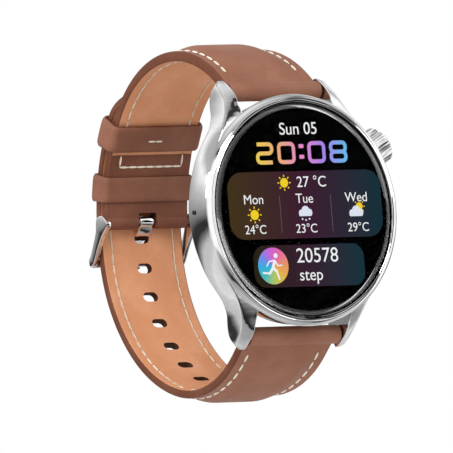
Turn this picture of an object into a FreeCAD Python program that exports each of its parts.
import FreeCAD, Part
import math
import os
import re

import Sketcher
from FreeCAD import Placement, Rotation, Vector

# Smartwatch on a buckled leather strap, in millimetres.
#
# Row frame: origin at the middle of the wrist space, +Z towards 12 o'clock, -Y out of the
# display, +X towards the crown. The head is drawn with its bezel plane at Y = 0 and every
# sub-part is then placed back by the depth from that plane to the wrist's centre.

SIZES = {
    # head, measured along the watch's axis from the bezel plane towards the wrist
    "wrist_depth": 30.0,
    "bezel_radius": 23.0,
    "bezel_height": 1.41,
    "bezel_lip": 22.2,
    "bezel_seat": 0.5,
    "glass_radius": 21.24,
    "glass_thick": 1.3,
    "glass_flat": 20.2,
    "ledge_radius": 20.4,
    "panel_radius": 20.2,
    "panel_thick": 0.5,
    "case_radius": 22.75,
    "case_depth": 7.6,
    "cavity_radius": 19.6,
    "ledge_depth": 5.8,
    "ledge_inner": 16.8,
    "gasket_radius": 20.0,
    "gasket_width": 0.5,
    "cover_radius": 20.8,
    "cover_depth": 9.9,
    "window_radius": 11.5,
    "window_depth": 10.8,
    "frame_radius": 19.4,
    "board_radius": 18.4,
    "board_front": 1.3,
    "board_thick": 0.8,
    "battery_width": 22.0,
    "battery_height": 17.0,
    "battery_thick": 3.6,
    "screw_circle": 18.3,
    "screw_radius": 0.6,
    "screw_head": 1.2,
    "contact_radius": 1.0,
    "contact_spread": 2.6,
    "contact_drop": 14.4,
    "microphone_radius": 0.45,
    "microphone_depth": 4.1,
    "microphone_rise": 0.4,
    # lugs and spring bars
    "strap_width": 22.0,
    "lug_gap": 22.4,
    "lug_reach": 26.5,
    "bar_depth": 6.3,
    "bar_height": 24.2,
    "bar_radius": 0.85,
    "bar_bore": 0.62,
    "bar_tip": 0.5,
    "bar_length": 19.6,
    "bar_travel": 1.6,
    # crown and side button, measured out along their own radial axes
    "crown_angle": 29.0,
    "button_angle": -30.0,
    "control_depth": 4.5,
    "crown_radius": 3.75,
    "crown_start": 23.5,
    "crown_end": 27.2,
    "crown_notches": 36.0,
    "stem_radius": 1.0,
    "tube_radius": 1.5,
    "clip_radius": 1.25,
    "tube_start": 19.5,
    "tube_end": 23.0,
    "button_start": 23.45,
    "button_end": 24.35,
    "button_length": 8.0,
    "button_width": 3.0,
    # strap layers, counted outwards from the face that touches the wrist
    "lining_thick": 0.8,
    "padding_thick": 1.0,
    "padded_thick": 3.0,
    "buckle_strap_thick": 2.2,
    "tail_gap": 2.45,
    "tail_lining": 0.6,
    "tail_thick": 1.5,
    "tail_root_thick": 2.6,
    "taper_start": 8.0,
    "taper_end": 50.0,
    "tail_width": 19.7,
    "flex_gap": 0.15,
    "roll_radius": 1.9,
    "thinning_run": 14.0,
    "fold_run": 14.4,
    "notch_width": 5.2,
    "notch_length": 8.0,
    "hole_count": 8.0,
    "hole_pitch": 6.0,
    "hole_width": 4.2,
    "hole_length": 2.8,
    # keepers and buckle
    "keeper_wall": 0.9,
    "keeper_play": 0.35,
    "free_keeper_start": 2.3,
    "free_keeper_end": 10.7,
    "fixed_keeper_start": 18.9,
    "fixed_keeper_end": 26.5,
    "buckle_bar_depth": 53.5,
    "buckle_bar_height": 3.4,
    "buckle_bar_radius": 0.6,
    "buckle_width": 22.6,
    "buckle_plate": 1.2,
    "buckle_roll_radius": 1.1,
    "tongue_width": 1.9,
    "tongue_thick": 0.8,
}

# Tangent runs of each strap half in the side view, from the lug to the buckle: a straight
# run is ("line", length) and a bend towards the wrist is (radius, degrees turned).
UPPER_START = (6.14, 22.80)
UPPER_HEADING = 42.2
UPPER_RUNS = [("line", 4.99), (24.62, 51.5), (23.07, 44.3), (37.46, 34.0)]
LOWER_START = (6.19, 22.05)
LOWER_HEADING = 42.0
LOWER_RUNS = [("line", 7.35), (22.28, 59.0), (30.92, 73.0), ("line", 3.05)]

doc = FreeCAD.newDocument("Smartwatch")
sheet = doc.addObject("Spreadsheet::Sheet", "Sizes")
for row, (alias, value) in enumerate(SIZES.items(), start=1):
    sheet.set("A%d" % row, alias)
    sheet.set("B%d" % row, str(value))
    sheet.setAlias("B%d" % row, alias)
doc.recompute()

exported = []


def size(alias):
    """The sheet's value, for shapes that are worked out in Python."""
    return float(sheet.get(alias))


def bound(text):
    """Turns the aliases in a formula into references to the sheet."""
    return re.sub(r"[a-z]+_[a-z_]+", lambda match: "Sizes." + match.group(), str(text))


def place(target, angle=None):
    """Stands a sub-part at the wrist's depth, turned about the watch's axis if it is radial."""
    if angle is not None:
        target.Placement = Placement(Vector(0, size("control_depth"), 0),
                                     Rotation(Vector(0, 1, 0), -size(angle)))
        depth = "control_depth - wrist_depth"
    else:
        depth = "0 - wrist_depth"
    target.setExpression("Placement.Base.y", bound(depth))
    exported.append(target)
    return target


def new_body(label, angle=None):
    body = doc.addObject("PartDesign::Body", label)
    body.Label = label
    body.AllowCompound = True
    return place(body, angle)


def origin_feature(body, role):
    return next(item for item in body.Origin.OriginFeatures if item.Role == role)


def new_sketch(body, role, name, offset="0", turn=0.0):
    """A sketch on one of the body's own origin planes, moved along its normal."""
    sketch = body.newObject("Sketcher::SketchObject", body.Label + "_" + name)
    sketch.AttachmentSupport = [(origin_feature(body, role), "")]
    sketch.MapMode = "FlatFace"
    sketch.AttachmentOffset = Placement(Vector(), Rotation(Vector(1, 0, 0), turn))
    if offset != "0":
        sketch.setExpression("AttachmentOffset.Base.z", bound(offset))
    return sketch


def drive(sketch, kind, where, formula):
    """Adds a dimension to the sketch and binds it to a formula of the sheet's cells."""
    number = sketch.addConstraint(Sketcher.Constraint(kind, *where, 1.0))
    sketch.setExpression("Constraints[%d]" % number, bound(formula))


def add_outline(sketch, corners):
    """A closed polygon whose corners are pairs of formulas."""
    count = len(corners)
    first = sketch.GeometryCount
    loose = [Vector(10 * math.cos(math.tau * k / count), 10 * math.sin(math.tau * k / count), 0)
             for k in range(count)]
    for k in range(count):
        sketch.addGeometry(Part.LineSegment(loose[k], loose[(k + 1) % count]), False)
    for k, (across, up) in enumerate(corners):
        following = first + (k + 1) % count
        sketch.addConstraint(Sketcher.Constraint("Coincident", first + k, 2, following, 1))
        drive(sketch, "DistanceX", (-1, 1, first + k, 1), across)
        drive(sketch, "DistanceY", (-1, 1, first + k, 1), up)


def add_circle(sketch, radius, across="0", up="0"):
    circle = sketch.addGeometry(Part.Circle(Vector(5, 5, 0), Vector(0, 0, 1), 1.0), False)
    drive(sketch, "Radius", (circle,), radius)
    drive(sketch, "DistanceX", (-1, 1, circle, 3), across)
    drive(sketch, "DistanceY", (-1, 1, circle, 3), up)


def revolve(body, corners, axis="V_Axis"):
    """Turns a section about the watch's axis, or about a radial control's own axis."""
    sketch = new_sketch(body, "XY_Plane", "section")
    add_outline(sketch, corners)
    turned = body.newObject("PartDesign::Revolution", body.Label + "_turned")
    turned.Profile = sketch
    turned.ReferenceAxis = (sketch, [axis])
    turned.Angle = 360
    doc.recompute()
    return turned


def pad(body, sketch, length, midplane=False):
    """Pads a face-on sketch towards the wrist, or evenly to both sides."""
    block = body.newObject("PartDesign::Pad", sketch.Name + "_pad")
    block.Profile = sketch
    block.setExpression("Length", bound(length))
    block.Midplane = midplane
    block.Reversed = not midplane
    doc.recompute()
    return block


def pocket(body, sketch, length, midplane=False, reverse=False):
    cut = body.newObject("PartDesign::Pocket", sketch.Name + "_cut")
    cut.Profile = sketch
    cut.setExpression("Length", bound(length))
    cut.Midplane = midplane
    cut.Reversed = reverse
    before = body.Shape.Volume
    body.Tip = cut
    doc.recompute()
    if not cut.Shape.Volume < before:
        raise ValueError(sketch.Name + " cuts nothing")
    return cut


def turned_part(label, corners, angle=None):
    body = new_body(label, angle)
    revolve(body, corners, "V_Axis" if angle is None else "H_Axis")
    return body


def disc_part(label, radius, front, thick, across="0", up="0"):
    """A round plate facing the display, from its front depth towards the wrist."""
    body = new_body(label)
    sketch = new_sketch(body, "XZ_Plane", "disc", "0 - (%s)" % front)
    add_circle(sketch, radius, across, up)
    pad(body, sketch, thick)
    return body


def block_part(label, width, height, front, thick, across="0", up="0"):
    """A rectangular block facing the display."""
    body = new_body(label)
    sketch = new_sketch(body, "XZ_Plane", "outline", "0 - (%s)" % front)
    add_outline(sketch, [("%s + (%s) * %s / 2" % (across, width, side),
                          "%s + (%s) * %s / 2" % (up, height, rise))
                         for side, rise in ((-1, -1), (1, -1), (1, 1), (-1, 1))])
    pad(body, sketch, thick)
    return body


def radial_block(label, angle, start, length, width, depth):
    """A switch behind a radial control: a box along that control's axis."""
    box = doc.addObject("Part::Box", label)
    box.Label = label
    box.setExpression("Length", bound(length))
    box.setExpression("Width", bound(depth))
    box.setExpression("Height", bound(width))
    turn = Rotation(Vector(0, 1, 0), -size(angle))
    corner = turn.multVec(Vector(start, 0, -width / 2))
    box.Placement = Placement(corner + Vector(0, size("control_depth") - depth / 2, 0), turn)
    box.setExpression("Placement.Base.y",
                      bound("control_depth - wrist_depth - %s / 2" % depth))
    exported.append(box)
    return box


def solid_part(label, shape):
    """A sub-part whose shape is worked out from the sheet in Python."""
    feature = doc.addObject("Part::Feature", label)
    feature.Label = label
    feature.Shape = Part.makeCompound([shape])
    return place(feature)


# ---------------------------------------------------------------- head

def make_bezel():
    turned_part("bezel_ring", [
        ("glass_radius + 0.06", "-bezel_height"), ("21.72", "-1.30"), ("21.84", "-1.02"),
        ("22.02", "-1.02"), ("22.10", "-1.28"), ("bezel_lip + 0.05", "-1.2"),
        ("bezel_radius", "-0.15"), ("bezel_radius", "0.12"), ("bezel_lip + 0.3", "bezel_seat"),
        ("ledge_radius", "bezel_seat"), ("ledge_radius", "0.2"), ("glass_radius + 0.06", "0.2")])


def make_glass():
    turned_part("cover_glass", [
        ("0", "-bezel_height"), ("glass_flat", "-bezel_height"),
        ("glass_radius - 0.45", "0.14 - bezel_height"), ("glass_radius", "0.45 - bezel_height"),
        ("glass_radius", "glass_thick - bezel_height"), ("0", "glass_thick - bezel_height")])
    turned_part("glass_gasket", [
        ("ledge_radius + 0.1", "glass_thick - bezel_height"),
        ("glass_radius", "glass_thick - bezel_height"),
        ("glass_radius", "0.2"), ("ledge_radius + 0.1", "0.2")])


def make_display():
    disc_part("display_panel", "panel_radius", "glass_thick - bezel_height + 0.02", "panel_thick")
    turned_part("display_frame", [
        ("0", "bezel_seat + 0.1"), ("frame_radius", "bezel_seat + 0.1"), ("frame_radius", "3"),
        ("frame_radius - 0.8", "3"), ("frame_radius - 0.8", "board_front"),
        ("0", "board_front")])


def make_electronics():
    disc_part("main_board", "board_radius", "board_front", "board_thick")
    board_back = "board_front + board_thick"
    block_part("shield_can", "14", "8", board_back, "0.45")
    block_part("battery", "battery_width", "battery_height", board_back + " + 0.5",
               "battery_thick")
    disc_part("vibration_motor", "3.5", board_back, "3", up="-12.6")
    block_part("speaker", "9", "4.5", board_back, "2.6", up="12")
    block_part("microphone", "2.4", "2.2", "3.5", "1.2", across="-18.2", up="0.4")
    disc_part("sensor_board", "10", "6.6", "0.6")
    sensors = new_body("optical_sensors")
    sketch = new_sketch(sensors, "XZ_Plane", "lenses", "-7.2")
    add_circle(sketch, "1.6")
    for across, up in ((5, 0), (-5, 0), (0, 5), (0, -5)):
        add_circle(sketch, "1.1", across, up)
    pad(sensors, sketch, "1.4")


def add_radial_hole(body, name, radius, turn, depth="control_depth", up="0"):
    """Drills outwards through the case wall from the watch's axis."""
    sketch = new_sketch(body, "YZ_Plane", name, turn=turn)
    add_circle(sketch, radius, depth, up)
    pocket(body, sketch, "case_radius + 3", reverse=True)


def make_mid_case():
    body = new_body("mid_case")
    lug_outline = [("lug_gap / 2", "10"), ("lug_gap / 2", "lug_reach"), ("12.2", "lug_reach - 0.1"),
                   ("14.1", "lug_reach - 2.2"), ("14.6", "lug_reach - 4.7"), ("15.4", "19.4"),
                   ("17.0", "16.3"), ("19.5", "12.3"), ("17.0", "8.5")]
    quarters = [(1, 1), (-1, 1), (-1, -1), (1, -1)]
    sketch = new_sketch(body, "XZ_Plane", "lugs")
    for side, rise in quarters:
        add_outline(sketch, [("(%s) * %s" % (across, side), "(%s) * %s" % (up, rise))
                             for across, up in lug_outline])
    pad(body, sketch, "10")
    front = [("-1", "8"), ("0.1", "13"), ("0.7", "16.4"), ("1.6", "18.8"), ("2.9", "21.5"),
             ("4.4", "23.8"), ("6.3", "25.8"), ("7.3", "lug_reach + 0.1"), ("7.3", "30"),
             ("-1", "30")]
    back = [("7.0", "8"), ("7.2", "16"), ("8.1", "19.3"), ("8.9", "21.6"), ("9.0", "23.2"),
            ("8.5", "24.7"), ("7.3", "lug_reach + 0.1"), ("7.3", "30"), ("12", "30"), ("12", "8")]
    for name, outline in (("front", front), ("back", back)):
        sketch = new_sketch(body, "YZ_Plane", name)
        for rise in (1, -1):
            add_outline(sketch, [(depth, "(%s) * %s" % (up, rise)) for depth, up in outline])
        pocket(body, sketch, "60", midplane=True)
    revolve(body, [
        ("0", "bezel_seat"), ("case_radius - 0.1", "bezel_seat"), ("case_radius", "2.4"),
        ("case_radius - 0.25", "4.4"), ("case_radius - 0.9", "6.2"),
        ("cover_radius + 0.2", "case_depth - 0.2"), ("cover_radius", "case_depth"),
        ("0", "case_depth")])
    sketch = new_sketch(body, "XZ_Plane", "bezel_seat", "2")
    add_circle(sketch, "bezel_radius + 0.1")
    pocket(body, sketch, "bezel_seat + 2")
    sketch = new_sketch(body, "XZ_Plane", "cavity", "1")
    add_circle(sketch, "cavity_radius")
    pocket(body, sketch, "ledge_depth + 1")
    sketch = new_sketch(body, "XZ_Plane", "back_opening", "1")
    add_circle(sketch, "ledge_inner")
    pocket(body, sketch, "case_depth + 2")
    sketch = new_sketch(body, "XZ_Plane", "gasket_groove", "0 - case_depth + gasket_width")
    add_circle(sketch, "gasket_radius + gasket_width / 2")
    add_circle(sketch, "gasket_radius - gasket_width / 2")
    pocket(body, sketch, "1")
    sketch = new_sketch(body, "XZ_Plane", "screw_holes", "0 - case_depth + 1.5")
    for side, rise in quarters:
        add_circle(sketch, "screw_radius", "screw_circle * cos(45) * %s" % side,
                   "screw_circle * sin(45) * %s" % rise)
    pocket(body, sketch, "2")
    for name, radius, length in (("strap_recess", "2.5", "lug_gap"),
                                 ("bar_holes", "bar_tip + 0.06", "lug_gap + 3.2")):
        sketch = new_sketch(body, "YZ_Plane", name)
        for rise in (1, -1):
            add_circle(sketch, radius, "bar_depth", "bar_height * %s" % rise)
        pocket(body, sketch, length, midplane=True)
    add_radial_hole(body, "crown_hole", "tube_radius", -size("crown_angle"))
    add_radial_hole(body, "button_hole", "clip_radius + 0.05", -size("button_angle"))
    add_radial_hole(body, "microphone_hole", "microphone_radius", 180.0, "microphone_depth",
                    "0 - microphone_rise")


def make_back():
    cover = new_body("back_cover")
    revolve(cover, [
        ("window_radius - 0.7", "8"), ("ledge_inner", "8"), ("ledge_inner", "case_depth"),
        ("cover_radius", "case_depth"), ("cover_radius - 0.2", "8.3"), ("18.6", "9.2"),
        ("14.0", "cover_depth"), ("window_radius + 0.05", "cover_depth"),
        ("window_radius + 0.05", "8.9"), ("window_radius - 0.7", "8.9")])
    quarters = [(1, 1), (-1, 1), (-1, -1), (1, -1)]
    for name, radius, start in (("screw_holes", "screw_radius + 0.1", "-7"),
                                ("head_recesses", "screw_head + 0.05", "-8.5")):
        sketch = new_sketch(cover, "XZ_Plane", name, start)
        for side, rise in quarters:
            add_circle(sketch, radius, "screw_circle * cos(45) * %s" % side,
                       "screw_circle * sin(45) * %s" % rise)
        pocket(cover, sketch, "4")
    sketch = new_sketch(cover, "XZ_Plane", "contact_holes", "-7")
    for side in (1, -1):
        add_circle(sketch, "contact_radius", "contact_spread * %s" % side, "0 - contact_drop")
    pocket(cover, sketch, "4")
    contacts = new_body("charging_contacts")
    sketch = new_sketch(contacts, "XZ_Plane", "pins", "-7.9")
    for side in (1, -1):
        add_circle(sketch, "contact_radius", "contact_spread * %s" % side, "0 - contact_drop")
    pad(contacts, sketch, "1.95")
    turned_part("sensor_window", [
        ("0", "8.9"), ("window_radius", "8.9"), ("window_radius", "cover_depth + 0.05"),
        ("8.6", "window_depth - 0.45"), ("4.6", "window_depth - 0.1"), ("0", "window_depth")])
    inner, outer = ("gasket_radius %s (gasket_width / 2 - 0.03)" % sign for sign in "-+")
    front = "case_depth - gasket_width + 0.03"
    turned_part("back_gasket", [(inner, front), (outer, front), (outer, "case_depth"),
                                (inner, "case_depth")])
    make_screws()


def make_screws():
    """Four identical cross-head screws that hold the back cover."""
    screws = []
    for quarter in range(4):
        angle = math.radians(45 + 90 * quarter)
        spot = Vector(size("screw_circle") * math.cos(angle), 0,
                      size("screw_circle") * math.sin(angle))
        back = Vector(0, 1, 0)
        shank = Part.makeCylinder(size("screw_radius"), 2.3, spot + back * 6.2, back)
        head = Part.makeCylinder(size("screw_head"), 0.5, spot + back * 8.5, back)
        screw = shank.fuse(head)
        for width, height in ((1.5, 0.3), (0.3, 1.5)):
            slot = Part.makeBox(width, 0.5, height)
            slot.translate(spot + Vector(-width / 2, 8.75, -height / 2))
            screw = screw.cut(slot)
        screws.append(screw)
    solid_part("case_screws", Part.makeCompound(screws))


# ---------------------------------------------------------------- crown and side button

def make_crown():
    crown = turned_part("crown", [
        ("crown_start", "0"), ("crown_start", "crown_radius - 0.5"),
        ("crown_start + 0.35", "crown_radius"), ("crown_end - 0.5", "crown_radius"),
        ("crown_end", "crown_radius - 0.6"), ("crown_end", "crown_radius - 1.1"),
        ("crown_end - 0.15", "crown_radius - 1.2"), ("crown_end - 0.15", "0")], "crown_angle")
    sketch = new_sketch(crown, "YZ_Plane", "stem_bore", "crown_start - 0.5")
    add_circle(sketch, "stem_radius")
    pocket(crown, sketch, "2", reverse=True)
    sketch = new_sketch(crown, "YZ_Plane", "notch", "crown_start - 0.5")
    add_outline(sketch, [("crown_radius - 0.3", "0"), ("crown_radius + 0.2", "0.34"),
                         ("crown_radius + 0.2", "-0.34")])
    notch = pocket(crown, sketch, "crown_end - crown_start + 1", reverse=True)
    knurl = crown.newObject("PartDesign::PolarPattern", "crown_knurl")
    knurl.Originals = [notch]
    knurl.Axis = (origin_feature(crown, "X_Axis"), [""])
    knurl.Angle = 360
    knurl.setExpression("Occurrences", bound("crown_notches"))
    crown.Tip = knurl
    doc.recompute()
    turned_part("crown_stem", [
        ("17.7", "0"), ("17.7", "stem_radius - 0.04"), ("crown_start", "stem_radius - 0.04"),
        ("crown_start", "stem_radius"), ("crown_start + 1.5", "stem_radius"),
        ("crown_start + 1.5", "0")], "crown_angle")
    turned_part("crown_tube", [
        ("tube_start", "stem_radius + 0.02"), ("tube_start", "tube_radius"),
        ("tube_end", "tube_radius"), ("tube_end", "stem_radius + 0.02")], "crown_angle")
    turned_part("crown_clip", [
        ("18.4", "stem_radius"), ("18.4", "clip_radius"), ("18.75", "clip_radius"),
        ("18.75", "stem_radius")],
        "crown_angle")
    turned_part("crown_seal", [
        ("tube_end", "stem_radius + 0.02"), ("tube_end", "1.4"), ("tube_end + 0.1", "1.4"),
        ("tube_end + 0.1", "stem_radius + 0.02")], "crown_angle")
    radial_block("crown_switch", "crown_angle", 14.3, 2.9, 4.0, 2.6)


def make_side_button():
    button = new_body("side_button", "button_angle")
    sketch = new_sketch(button, "YZ_Plane", "pill", "button_start")
    half = "(button_length - button_width) / 2"
    add_outline(sketch, [("%s * button_width / 2" % side, "(%s) * %s" % (half, rise))
                         for side, rise in ((-1, -1), (1, -1), (1, 1), (-1, 1))])
    pill = pad(button, sketch, "button_end - button_start")
    pill.Reversed = False
    for rise in (1, -1):
        sketch = new_sketch(button, "YZ_Plane", "end_%d" % (rise + 1), "button_start")
        add_circle(sketch, "button_width / 2", "0", "(%s) * %s" % (half, rise))
        end = pad(button, sketch, "button_end - button_start")
        end.Reversed = False
    doc.recompute()
    turned_part("button_stem", [
        ("18", "0"), ("18", "stem_radius - 0.02"), ("button_start", "stem_radius - 0.02"),
        ("button_start", "0")], "button_angle")
    turned_part("button_clip", [
        ("18.3", "stem_radius - 0.02"), ("18.3", "clip_radius"), ("18.6", "clip_radius"),
        ("18.6", "stem_radius - 0.02")], "button_angle")
    turned_part("button_seal", [
        ("20.3", "stem_radius + 0.02"), ("20.3", "clip_radius + 0.05"),
        ("20.9", "clip_radius + 0.05"), ("20.9", "stem_radius + 0.02")], "button_angle")
    radial_block("button_switch", "button_angle", 14.6, 3.0, 4.0, 2.6)


# ---------------------------------------------------------------- strap geometry

class Route:
    """A strap half seen from the side: tangent runs, followed by distance from the lug.

    The side gives the half its sign: 1 goes over the top of the wrist, -1 underneath.
    """

    def __init__(self, start, heading, runs, side):
        self.side = side
        self.pieces = []
        here = Vector(0, start[0], start[1])
        angle = math.radians(heading)
        self.length = 0.0
        for kind, amount in runs:
            if kind == "line":
                self.pieces.append((self.length, amount, here, angle, None))
                here = here + self.ahead(angle) * amount
                self.length += amount
            else:
                turn = math.radians(amount)
                self.pieces.append((self.length, kind * turn, here, angle, kind))
                centre = here - self.outward(angle) * kind
                angle -= turn
                here = centre + self.outward(angle) * kind
                self.length += kind * turn

    @staticmethod
    def ahead(angle):
        return Vector(0, math.cos(angle), math.sin(angle))

    @staticmethod
    def outward(angle):
        return Vector(0, -math.sin(angle), math.cos(angle))

    def frame(self, distance):
        """The point, the way ahead and the outward direction at a distance from the lug."""
        for begin, length, here, angle, radius in self.pieces:
            if distance <= begin + length:
                break
        run = distance - begin
        if radius is None:
            here = here + self.ahead(angle) * run
        else:
            centre = here - self.outward(angle) * radius
            angle -= run / radius
            here = centre + self.outward(angle) * radius
        return tuple(Vector(item.x, item.y, item.z * self.side)
                     for item in (here, self.ahead(angle), self.outward(angle)))

    def at(self, distance, offset):
        here, _, outward = self.frame(distance)
        return here + outward * offset

    def stops(self, begin, finish):
        """Distances that cut a stretch at every change of bend and every few millimetres."""
        edges = [begin, finish]
        edges += [piece[0] for piece in self.pieces if begin + 0.01 < piece[0] < finish - 0.01]
        edges.sort()
        stops = [edges[0]]
        for low, high in zip(edges, edges[1:]):
            steps = max(1, round((high - low) / 9.0))
            stops += [low + (high - low) * (k + 1) / steps for k in range(steps)]
        return stops

    def edge(self, begin, finish, offset):
        """Arcs along the strap at an offset that may change with the distance."""
        arcs = []
        stops = self.stops(begin, finish)
        for low, high in zip(stops, stops[1:]):
            middle = (low + high) / 2
            first, half_way, last = (self.at(stop, offset(stop)) for stop in (low, middle, high))
            arcs.append(Part.LineSegment(first, last) if self.is_straight(middle)
                        else Part.Arc(first, half_way, last))
        return [arc.toShape() for arc in arcs]

    def is_straight(self, distance):
        return any(piece[4] is None and piece[0] <= distance <= piece[0] + piece[1]
                   for piece in self.pieces)

    def band(self, begin, finish, low, high, width):
        """A solid strip between two offsets, as wide as it is told, centred on X = 0."""
        low_of = low if callable(low) else lambda distance: low
        high_of = high if callable(high) else lambda distance: high
        edges = self.edge(begin, finish, low_of)
        edges.append(Part.makeLine(self.at(finish, low_of(finish)), self.at(finish, high_of(finish))))
        edges += reversed(self.edge(begin, finish, high_of))
        edges.append(Part.makeLine(self.at(begin, high_of(begin)), self.at(begin, low_of(begin))))
        wire = Part.Wire(Part.__sortEdges__(edges))
        face = Part.Face(wire)
        strip = face.extrude(Vector(width, 0, 0))
        strip.translate(Vector(-width / 2, 0, 0))
        return strip

    def punch(self, distance, outline, reach=6.0):
        """A tool pushed through the strap at right angles; outline is a face in (X, ahead)."""
        here, ahead, outward = self.frame(distance)
        across = ahead.cross(outward)
        matrix = FreeCAD.Matrix(across.x, ahead.x, outward.x, here.x,
                                across.y, ahead.y, outward.y, here.y,
                                across.z, ahead.z, outward.z, here.z, 0, 0, 0, 1)
        tool = outline.extrude(Vector(0, 0, 2 * reach))
        tool.translate(Vector(0, 0, -reach))
        return tool.transformed(matrix)


def planform(narrower=0.0):
    """The strap seen along Z: full width at the lugs, tapering to the tail's width."""
    wide = size("strap_width") / 2 - narrower
    slim = size("tail_width") / 2 - narrower
    start, end = size("taper_start"), size("taper_end")
    corners = [(wide, -5), (wide, start), (slim, end), (slim, 70)]
    points = [Vector(x, y, -45) for x, y in corners]
    points += [Vector(-x, y, -45) for x, y in reversed(corners)]
    face = Part.Face(Part.makePolygon(points + points[:1]))
    return face.extrude(Vector(0, 0, 90))


def oval(width, length):
    """A slot-shaped face, as wide across the strap as asked."""
    radius = length / 2
    reach = width / 2 - radius
    edges = [Part.makeLine(Vector(-reach, -radius, 0), Vector(reach, -radius, 0)),
             Part.Arc(Vector(reach, -radius, 0), Vector(reach + radius, 0, 0),
                      Vector(reach, radius, 0)).toShape(),
             Part.makeLine(Vector(reach, radius, 0), Vector(-reach, radius, 0)),
             Part.Arc(Vector(-reach, radius, 0), Vector(-reach - radius, 0, 0),
                      Vector(-reach, -radius, 0)).toShape()]
    return Part.Face(Part.Wire(edges))


def rectangle(width, length):
    return Part.makePlane(width, length, Vector(-width / 2, -length / 2, 0))


UPPER = Route(UPPER_START, UPPER_HEADING, UPPER_RUNS, 1)
LOWER = Route(LOWER_START, LOWER_HEADING, LOWER_RUNS, -1)
# Each half flexes where its first bend ends: the distance at which its third run begins.
UPPER_FLEX = UPPER.pieces[2][0]
LOWER_FLEX = LOWER.pieces[2][0]


# ---------------------------------------------------------------- strap sub-parts

def bar_end(route):
    """The rolled end of a strap half around its spring bar."""
    centre = Vector(-size("strap_width") / 2, size("bar_depth"), route.side * size("bar_height"))
    return Part.makeCylinder(size("roll_radius"), size("strap_width"), centre, Vector(1, 0, 0))


def bar_bore(route):
    centre = Vector(-15, size("bar_depth"), route.side * size("bar_height"))
    return Part.makeCylinder(size("bar_radius"), 30, centre, Vector(1, 0, 0))


def lever_slot(route):
    """The window in the lining where the quick-release lever travels."""
    box = Part.makeBox(2.4 + size("bar_travel"), 3.4, 1.4)
    box.translate(Vector(-9.2, size("bar_depth"), route.side * size("bar_height") - 0.7))
    return box


def make_strap_half(name, route, flex):
    """Outer leather, padding and lining from the lug to the half's flex line."""
    shape = planform()
    finish = flex - size("flex_gap") / 2
    lining_top = size("lining_thick")
    padding_top = lining_top + size("padding_thick")
    lining = route.band(2.5, finish, 0.0, lining_top, 30)
    padding = route.band(6.0, finish - 0.5, lining_top, padding_top, 30)
    padding = padding.common(planform(2.6))
    outer = route.band(1.5, finish, lining_top, size("padded_thick"), 30)
    wrap = bar_end(route)
    lining = lining.cut(wrap).common(shape).cut(lever_slot(route))
    outer = outer.fuse(wrap).common(shape).cut(lining)
    outer = outer.cut(padding).cut(bar_bore(route)).cut(lever_slot(route))
    padding = padding.common(shape).cut(wrap)
    solid_part(name + "_leather", largest(outer))
    solid_part(name + "_padding", largest(padding))
    solid_part(name + "_lining", largest(lining))


def largest(shape):
    """The main solid of a result that may carry slivers."""
    return max(shape.removeSplitter().Solids, key=lambda solid: solid.Volume)


def coil(radius, wire, pitch, length):
    """A compression spring along +X from the origin."""
    helix = Part.makeHelix(pitch, length, radius)
    ring = Part.Wire(Part.makeCircle(wire, Vector(radius, 0, 0), Vector(0, 1, 0)))
    spring = Part.Wire(helix.Edges).makePipeShell([ring], True, True)
    spring.rotate(Vector(), Vector(0, 1, 0), 90)
    return spring


def make_spring_bar(name, route):
    """A quick-release bar: tube, spring, fixed tip, and sliding tip with its lever."""
    depth, height = size("bar_depth"), route.side * size("bar_height")
    along = Vector(1, 0, 0)
    half = size("bar_length") / 2
    bore, tip = size("bar_bore"), size("bar_tip")

    def rod(radius, start, finish):
        return Part.makeCylinder(radius, finish - start, Vector(start, depth, height), along)

    tube = rod(size("bar_radius"), -half, half).cut(rod(bore, -half - 1, half - 1.5))
    slot = Part.makeBox(2.2 + size("bar_travel"), 2.0, 1.0)
    slot.translate(Vector(-9.1, depth, height - 0.5))
    tube = tube.cut(slot).cut(rod(tip, half - 2, half + 1))
    solid_part(name + "_tube", tube)
    solid_part(name + "_tip", rod(tip, half - 1.5, 12.6))
    plunger = rod(bore - 0.04, -8.4, -6.2).fuse(rod(tip, -12.6, -8.4))
    lever = Part.makeCylinder(0.4, 2.7, Vector(-7.6, depth, height), Vector(0, 1, 0))
    solid_part(name + "_lever", plunger.fuse(lever))
    spring = coil(0.42, 0.11, 0.75, 11.0)
    spring.translate(Vector(-6.0, depth, height))
    solid_part(name + "_spring", spring)


def tail_route():
    """The tail half continued over the buckle half, one strap's thickness further out."""
    (next_radius, _), (last_radius, _) = UPPER_RUNS[2:]
    turns = [(last_radius + size("tail_gap"), 36.4), (next_radius + size("tail_gap"), 12.2)]
    return Route(LOWER_START, LOWER_HEADING, LOWER_RUNS + turns, -1)


def hole_distances():
    """Where the strap holes are: one past the tongue's hole, the others back towards the lug."""
    last_hole = LOWER.length - 0.7 + size("hole_pitch")
    return [last_hole - size("hole_pitch") * k for k in range(int(size("hole_count")))]


def tip_corners(route, tip):
    """What the rounded tip leaves off the tail's square end."""
    reach, round_in = 12.0, 5.5
    arc = Part.Arc(Vector(-reach + 2, -round_in, 0), Vector(0, 0, 0),
                   Vector(reach - 2, -round_in, 0)).toShape()
    sides = [Vector(reach - 2, -round_in, 0), Vector(reach, -round_in, 0), Vector(reach, 4, 0),
             Vector(-reach, 4, 0), Vector(-reach, -round_in, 0), Vector(-reach + 2, -round_in, 0)]
    edges = [arc] + [Part.makeLine(a, b) for a, b in zip(sides, sides[1:])]
    face = Part.Face(Part.Wire(Part.__sortEdges__(edges)))
    return route.punch(tip, face, 4.0)


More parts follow.
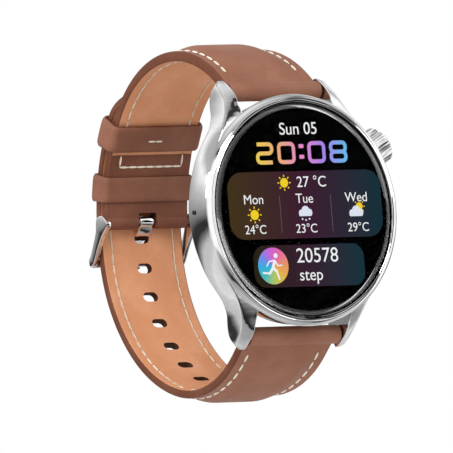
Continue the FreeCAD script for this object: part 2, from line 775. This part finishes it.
def make_tail():
    route = tail_route()
    start = LOWER_FLEX + size("flex_gap") / 2
    tip = route.length
    thin_from = LOWER.length - 6.0

    def thickness(distance):
        share = min(1.0, max(0.0, (distance - start) / (thin_from - start)))
        return size("tail_root_thick") + share * (size("tail_thick") - size("tail_root_thick"))

    lining = route.band(start, tip, 0.0, size("tail_lining"), 30).common(planform())
    outer = route.band(start, tip, size("tail_lining"), thickness, 30).common(planform())
    tools = [route.punch(spot, oval(size("hole_width"), size("hole_length")))
             for spot in hole_distances()]
    tools.append(tip_corners(route, tip))
    for tool in tools:
        lining = lining.cut(tool)
        outer = outer.cut(tool)
    solid_part("tail_leather", largest(outer))
    solid_part("tail_lining", largest(lining))


def make_buckle_strap():
    """The part of the buckle half past its flex line, folded back round the buckle's bar."""
    start = UPPER_FLEX + size("flex_gap") / 2
    fold_from = UPPER.length - size("fold_run")
    thick = size("buckle_strap_thick")
    end = UPPER.length - 1.0
    centre = Vector(-15, size("buckle_bar_depth"), size("buckle_bar_height"))
    wrap = Part.makeCylinder(size("buckle_roll_radius"), 30, centre, Vector(1, 0, 0))
    bore = Part.makeCylinder(size("buckle_bar_radius") + 0.05, 30, centre, Vector(1, 0, 0))
    notch = UPPER.punch(end, rectangle(size("notch_width"), size("notch_length")), 3.0)

    def thickness(distance):
        share = min(1.0, (distance - start) / size("thinning_run"))
        return size("padded_thick") + share * (thick - size("padded_thick"))

    lining = UPPER.band(start, fold_from, 0.0, size("lining_thick"), 30)
    fold = UPPER.band(fold_from, end, 0.0, size("lining_thick"), 30)
    outer = UPPER.band(start, end, size("lining_thick"), thickness, 30).fuse(wrap)
    fold = fold.cut(wrap).cut(notch).cut(bore)
    outer = outer.cut(notch).cut(bore)
    solid_part("buckle_strap_lining", largest(lining.common(planform())))
    solid_part("buckle_strap_fold", largest(fold.common(planform())))
    solid_part("buckle_strap_leather", largest(outer.common(planform())))


def keeper_ring(begin, finish, inner_gap):
    """A leather loop round both strap halves between two distances along the buckle half."""
    wall, play = size("keeper_wall"), size("keeper_play")
    inside = size("tail_width") / 2 + play
    top = size("tail_gap") + size("tail_thick") + play
    outer = UPPER.band(begin, finish, -inner_gap - wall, top + wall, 2 * (inside + wall))
    space = UPPER.band(begin - 1, finish + 1, -inner_gap, top, 2 * inside)
    return outer.cut(space)


def make_keepers():
    """Both loops sit on the last bend; their ends are given in degrees round it."""
    radius, turn = UPPER_RUNS[-1]
    for name, inner_gap in (("free_keeper", 0.15), ("fixed_keeper", 0.0)):
        begin, finish = (UPPER.length + math.radians(size(name + limit) - turn) * radius
                         for limit in ("_start", "_end"))
        solid_part(name, keeper_ring(begin, finish, inner_gap))


def make_buckle():
    depth, height = size("buckle_bar_depth"), size("buckle_bar_height")
    half = size("buckle_width") / 2
    plate = size("buckle_plate")
    radius = size("buckle_bar_radius")
    bar = Part.makeCylinder(radius, 2 * half - plate, Vector(-half + plate / 2, depth, height),
                            Vector(1, 0, 0))
    solid_part("buckle_bar", bar)
    side = [(50.6, 4.6), (54.0, 5.0), (55.4, 3.0), (57.9, -2.6), (57.9, -5.2), (56.6, -5.2),
            (53.4, -4.6), (50.8, -0.6)]
    points = [Vector(-half, y, z) for y, z in side]
    cheek = Part.Face(Part.makePolygon(points + points[:1])).extrude(Vector(plate, 0, 0))
    other = cheek.translated(Vector(2 * half - plate, 0, 0))
    outer_bar = Part.makeBox(2 * half, 1.3, 2.6, Vector(-half, 56.6, -5.2))
    outer_bar = outer_bar.makeFillet(0.5, [edge for edge in outer_bar.Edges
                                           if abs(edge.BoundBox.XLength - 2 * half) < 0.01])
    frame = outer_bar.fuse(cheek).fuse(other)
    sockets = Part.makeCylinder(radius + 0.03, 2 * half - plate + 0.06,
                                Vector(-half + plate / 2 - 0.03, depth, height), Vector(1, 0, 0))
    solid_part("buckle_frame", largest(frame.cut(sockets)))
    make_tongue(depth, height, radius)


def make_tongue(depth, height, radius):
    """The pin: rolled round the bar, through the strap and over the frame's outer bar."""
    width, thick = size("tongue_width"), size("tongue_thick")
    roll = Part.makeCylinder(size("buckle_roll_radius"), width, Vector(-width / 2, depth, height),
                             Vector(1, 0, 0))
    route = [Vector(-width / 2, y, z) for y, z in
             ((52.95, 2.9), (53.5, 1.45), (54.95, 0.45), (56.45, -0.25), (57.95, -1.2),
              (58.45, -2.7), (58.4, -5.6))]
    other = []
    for k, point in enumerate(route):
        ahead = (route[min(k + 1, len(route) - 1)] - route[max(k - 1, 0)]).normalize()
        other.append(point + Vector(0, -ahead.z, ahead.y) * thick)
    blade = Part.Face(Part.makePolygon(route + other[::-1] + route[:1]))
    tongue = blade.extrude(Vector(width, 0, 0)).fuse(roll)
    bore = Part.makeCylinder(radius + 0.05, width + 2, Vector(-width / 2 - 1, depth, height),
                             Vector(1, 0, 0))
    solid_part("buckle_tongue", largest(tongue.cut(bore)))


make_bezel()
make_glass()
make_display()
make_electronics()
make_mid_case()
make_back()
make_crown()
make_side_button()
make_strap_half("upper_strap", UPPER, UPPER_FLEX)
make_strap_half("lower_strap", LOWER, LOWER_FLEX)
make_spring_bar("upper_bar", UPPER)
make_spring_bar("lower_bar", LOWER)
make_tail()
make_buckle_strap()
make_keepers()
make_buckle()

doc.recompute()
for item in doc.Objects:
    if "Invalid" in item.State or "Error" in item.State:
        raise ValueError("%s is %s" % (item.Label, item.State))
for item in exported:
    if item.Shape.isNull() or not item.Shape.isValid() or not item.Shape.Solids:
        raise ValueError(item.Label + " has no valid solid")
os.makedirs("parts", exist_ok=True)
for item in exported:
    item.Shape.exportStep("parts/%s.step" % item.Label)
    print("%-24s %d solid(s) %9.2f mm3" % (item.Label, len(item.Shape.Solids), item.Shape.Volume))
